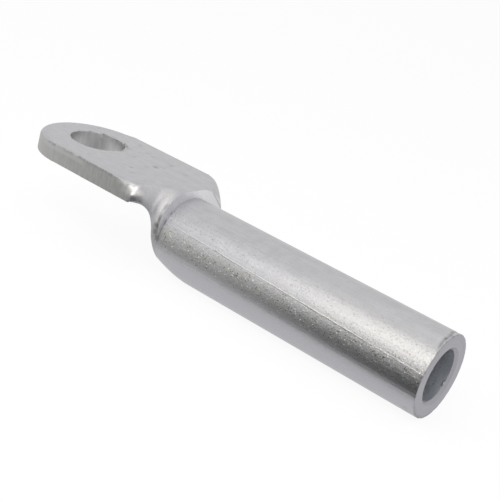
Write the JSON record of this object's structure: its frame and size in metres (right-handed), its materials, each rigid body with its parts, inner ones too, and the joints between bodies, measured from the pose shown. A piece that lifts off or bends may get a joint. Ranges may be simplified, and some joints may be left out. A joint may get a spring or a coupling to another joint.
{
  "type": "aluminium cable lug",
  "caption": "Round barrel with a blind bore for a stranded conductor, pressed out through a stepped neck into a flat palm with a stud hole.",
  "frame": {"origin": "centre of the stud hole on the contact face of the palm", "axes": "+X along the barrel towards its mouth, +Z out of the contact face, +Y across the palm"},
  "size_m": [0.1107, 0.0264, 0.0196],
  "materials": {
    "aluminium": "satin, as pressed and punched, with light handling marks"
  },
  "bodies": {
    "root": {"cable_lug": "aluminium"}
  },
  "joints": []
}
